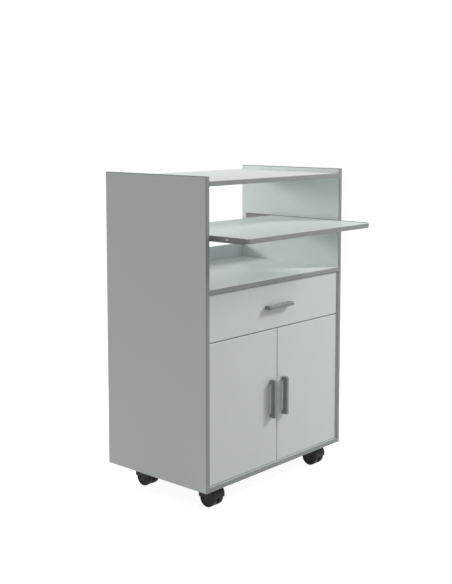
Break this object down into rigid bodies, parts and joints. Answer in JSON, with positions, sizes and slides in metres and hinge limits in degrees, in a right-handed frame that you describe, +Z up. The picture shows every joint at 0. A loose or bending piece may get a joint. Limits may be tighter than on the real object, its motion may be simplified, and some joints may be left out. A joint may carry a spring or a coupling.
{
  "type": "microwave cart",
  "caption": "White kitchen cart on swivel casters with an open niche, pull-out shelf, drawer and two-door cupboard.",
  "frame": {"origin": "on the floor, at the bottom centre of the bounding box with the pull-out shelf drawn out as it rests", "axes": "+Z up, +Y to the rear, so that the doors, the drawer and the pull-out shelf face -Y; +X to the right"},
  "size_m": [0.6, 0.504, 0.902],
  "materials": {
    "white_board": "white melamine laminate, fine pearl texture, satin",
    "grey_edging": "grey plastic edge strip with rounded corners, satin",
    "white_hardboard": "white lacquered thin board",
    "runner_steel": "grey powder-coated folded steel",
    "roller_nylon": "white nylon",
    "handle_grey": "satin grey handle",
    "hinge_steel": "nickel-plated steel",
    "screw_steel": "zinc-plated steel",
    "fitting_zinc": "die-cast zinc",
    "caster_plastic": "black moulded plastic, slight grain",
    "caster_wheel": "black hard plastic wheel",
    "caster_steel": "zinc-plated pressed plate"
  },
  "bodies": {
    "cabinet": {"side_panel_left": "white_board", "side_panel_right": "white_board", "top_board": "white_board", "fixed_shelf": "white_board", "base_board": "white_board", "back_panel": "white_hardboard", "niche_back_rail": "white_hardboard", "side_edging_left": "grey_edging", "side_edging_right": "grey_edging", "top_edging": "grey_edging", "shelf_edging": "grey_edging", "base_edging": "grey_edging", "tray_runner_left": "runner_steel", "tray_runner_right": "runner_steel", "drawer_runner_left": "runner_steel", "drawer_runner_right": "runner_steel", "hinge_arms_left": "hinge_steel", "hinge_arms_right": "hinge_steel", "cam_fittings": "fitting_zinc", "panel_screws": "screw_steel", "caster_plates": "caster_steel", "caster_screws": "screw_steel"},
    "tray": {"tray_board": "white_board", "tray_edging": "grey_edging", "tray_slide_left": "runner_steel", "tray_slide_right": "runner_steel", "tray_screws": "screw_steel"},
    "tray_front_roller_pair": {"tray_front_rollers": "roller_nylon"},
    "tray_rear_roller_pair": {"tray_rear_rollers": "roller_nylon"},
    "drawer": {"drawer_front": "white_board", "drawer_side_left": "white_board", "drawer_side_right": "white_board", "drawer_back": "white_board", "drawer_bottom": "white_hardboard", "drawer_slide_left": "runner_steel", "drawer_slide_right": "runner_steel", "drawer_handle": "handle_grey", "drawer_screws": "screw_steel"},
    "drawer_front_roller_pair": {"drawer_front_rollers": "roller_nylon"},
    "drawer_rear_roller_pair": {"drawer_rear_rollers": "roller_nylon"},
    "left_door": {"door_left": "white_board", "door_handle_left": "handle_grey", "door_handle_screws_left": "screw_steel", "hinge_cups_left": "hinge_steel"},
    "right_door": {"door_right": "white_board", "door_handle_right": "handle_grey", "door_handle_screws_right": "screw_steel", "hinge_cups_right": "hinge_steel"},
    "swivel_front_left": {"caster_hood_front_left": "caster_plastic"},
    "wheel_front_left_a": {"caster_wheel_front_left_a": "caster_wheel"},
    "wheel_front_left_b": {"caster_wheel_front_left_b": "caster_wheel"},
    "swivel_front_right": {"caster_hood_front_right": "caster_plastic"},
    "wheel_front_right_a": {"caster_wheel_front_right_a": "caster_wheel"},
    "wheel_front_right_b": {"caster_wheel_front_right_b": "caster_wheel"},
    "swivel_rear_left": {"caster_hood_rear_left": "caster_plastic"},
    "wheel_rear_left_a": {"caster_wheel_rear_left_a": "caster_wheel"},
    "wheel_rear_left_b": {"caster_wheel_rear_left_b": "caster_wheel"},
    "swivel_rear_right": {"caster_hood_rear_right": "caster_plastic"},
    "wheel_rear_right_a": {"caster_wheel_rear_right_a": "caster_wheel"},
    "wheel_rear_right_b": {"caster_wheel_rear_right_b": "caster_wheel"}
  },
  "joints": [
    {"name": "tray_slide", "type": "slide", "parent": "cabinet", "child": "tray", "axis": [0, -1, 0], "range_m": [-0.12, 0.13]},
    {"name": "drawer_slide", "type": "slide", "parent": "cabinet", "child": "drawer", "axis": [0, -1, 0], "range_m": [0, 0.25]},
    {"name": "tray_front_roller_spin", "type": "hinge", "parent": "cabinet", "child": "tray_front_roller_pair", "pos_m": [0, -0.102, 0.7405], "axis": [1, 0, 0], "range_deg": [-1114, 1206.4]},
    {"name": "tray_rear_roller_spin", "type": "hinge", "parent": "tray", "child": "tray_rear_roller_pair", "pos_m": [0, 0.097, 0.7405], "axis": [1, 0, 0], "range_deg": [-1114, 1206.4]},
    {"name": "drawer_front_roller_spin", "type": "hinge", "parent": "cabinet", "child": "drawer_front_roller_pair", "pos_m": [0, -0.102, 0.496], "axis": [1, 0, 0], "range_deg": [-5, 2315.3]},
    {"name": "drawer_rear_roller_spin", "type": "hinge", "parent": "drawer", "child": "drawer_rear_roller_pair", "pos_m": [0, 0.224, 0.496], "axis": [1, 0, 0], "range_deg": [-5, 2315.3]},
    {"name": "left_door_hinge", "type": "hinge", "parent": "cabinet", "child": "left_door", "pos_m": [-0.27, -0.1195, 0.269], "axis": [0, 0, -1], "range_deg": [0, 100]},
    {"name": "right_door_hinge", "type": "hinge", "parent": "cabinet", "child": "right_door", "pos_m": [0.27, -0.1195, 0.269], "axis": [0, 0, 1], "range_deg": [0, 100]},
    {"name": "swivel_front_left_turn", "type": "hinge", "parent": "cabinet", "child": "swivel_front_left", "pos_m": [-0.229, -0.0645, 0.0552], "axis": [0, 0, 1], "continuous": true},
    {"name": "wheel_front_left_a_spin", "type": "hinge", "parent": "swivel_front_left", "child": "wheel_front_left_a", "pos_m": [-0.24125, -0.0845, 0.025], "axis": [1, 0, 0], "continuous": true},
    {"name": "wheel_front_left_b_spin", "type": "hinge", "parent": "swivel_front_left", "child": "wheel_front_left_b", "pos_m": [-0.21675, -0.0845, 0.025], "axis": [1, 0, 0], "continuous": true},
    {"name": "swivel_front_right_turn", "type": "hinge", "parent": "cabinet", "child": "swivel_front_right", "pos_m": [0.229, -0.0645, 0.0552], "axis": [0, 0, 1], "continuous": true},
    {"name": "wheel_front_right_a_spin", "type": "hinge", "parent": "swivel_front_right", "child": "wheel_front_right_a", "pos_m": [0.21675, -0.0845, 0.025], "axis": [1, 0, 0], "continuous": true},
    {"name": "wheel_front_right_b_spin", "type": "hinge", "parent": "swivel_front_right", "child": "wheel_front_right_b", "pos_m": [0.24125, -0.0845, 0.025], "axis": [1, 0, 0], "continuous": true},
    {"name": "swivel_rear_left_turn", "type": "hinge", "parent": "cabinet", "child": "swivel_rear_left", "pos_m": [-0.229, 0.1845, 0.0552], "axis": [0, 0, 1], "continuous": true},
    {"name": "wheel_rear_left_a_spin", "type": "hinge", "parent": "swivel_rear_left", "child": "wheel_rear_left_a", "pos_m": [-0.24125, 0.1645, 0.025], "axis": [1, 0, 0], "continuous": true},
    {"name": "wheel_rear_left_b_spin", "type": "hinge", "parent": "swivel_rear_left", "child": "wheel_rear_left_b", "pos_m": [-0.21675, 0.1645, 0.025], "axis": [1, 0, 0], "continuous": true},
    {"name": "swivel_rear_right_turn", "type": "hinge", "parent": "cabinet", "child": "swivel_rear_right", "pos_m": [0.229, 0.1845, 0.0552], "axis": [0, 0, 1], "continuous": true},
    {"name": "wheel_rear_right_a_spin", "type": "hinge", "parent": "swivel_rear_right", "child": "wheel_rear_right_a", "pos_m": [0.21675, 0.1645, 0.025], "axis": [1, 0, 0], "continuous": true},
    {"name": "wheel_rear_right_b_spin", "type": "hinge", "parent": "swivel_rear_right", "child": "wheel_rear_right_b", "pos_m": [0.24125, 0.1645, 0.025], "axis": [1, 0, 0], "continuous": true}
  ],
  "couplings": [
    {"joint": "tray_front_roller_spin", "follows": "tray_slide", "rad_per_m": 161.29},
    {"joint": "tray_rear_roller_spin", "follows": "tray_slide", "rad_per_m": 161.29},
    {"joint": "drawer_front_roller_spin", "follows": "drawer_slide", "rad_per_m": 161.29},
    {"joint": "drawer_rear_roller_spin", "follows": "drawer_slide", "rad_per_m": 161.29}
  ]
}
